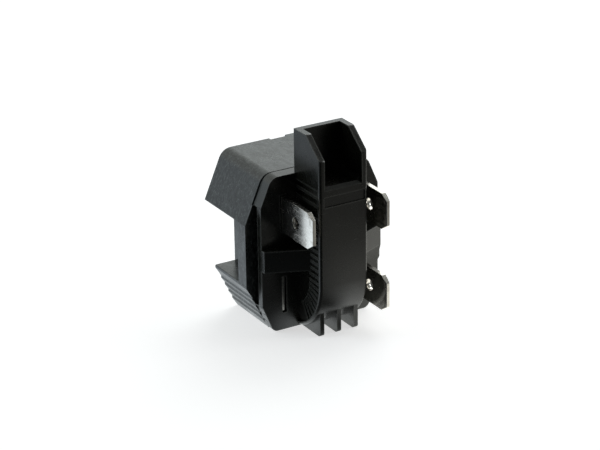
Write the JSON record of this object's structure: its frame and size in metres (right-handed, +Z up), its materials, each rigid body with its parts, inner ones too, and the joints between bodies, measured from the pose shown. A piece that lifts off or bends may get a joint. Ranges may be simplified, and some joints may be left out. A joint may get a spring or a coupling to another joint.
{
  "type": "compressor start relay",
  "caption": "Plug-on start relay for a small refrigeration compressor: black moulded cover with spade tabs and a pocketed tower, hooded rear housing with pin sockets, ceramic disc inside.",
  "frame": {"origin": "on the base, under the middle of the whole part's length and width", "axes": "+Z up, along the height; the spade tabs and the disc bay face -Y; the compressor's pins enter from +Y; X runs across, with the single upper tab at -X"},
  "size_m": [0.026, 0.026, 0.0352],
  "materials": {
    "cover_plastic": "black moulded plastic, satin, with light handling marks",
    "housing_plastic": "black moulded plastic, fine sparked texture, dusty",
    "tinned_brass": "tin plated, slightly dull",
    "brass": "bare rolled brass",
    "spring_steel": "stainless spring steel",
    "ceramic": "metallised ceramic, dull grey"
  },
  "bodies": {
    "root": {"front_cover": "cover_plastic", "rear_housing": "housing_plastic", "tab_upper_left": "tinned_brass", "tab_upper_right": "tinned_brass", "tab_lower_right": "tinned_brass", "slot_terminal": "tinned_brass", "strap_common": "brass", "strap_run": "brass", "strap_start": "brass", "strap_rivets": "spring_steel", "socket_common": "brass", "socket_run": "brass", "socket_start": "brass", "clip_common": "spring_steel", "clip_run": "spring_steel", "clip_start": "spring_steel", "disc": "ceramic", "spring_left": "spring_steel", "spring_right": "spring_steel"}
  },
  "joints": []
}
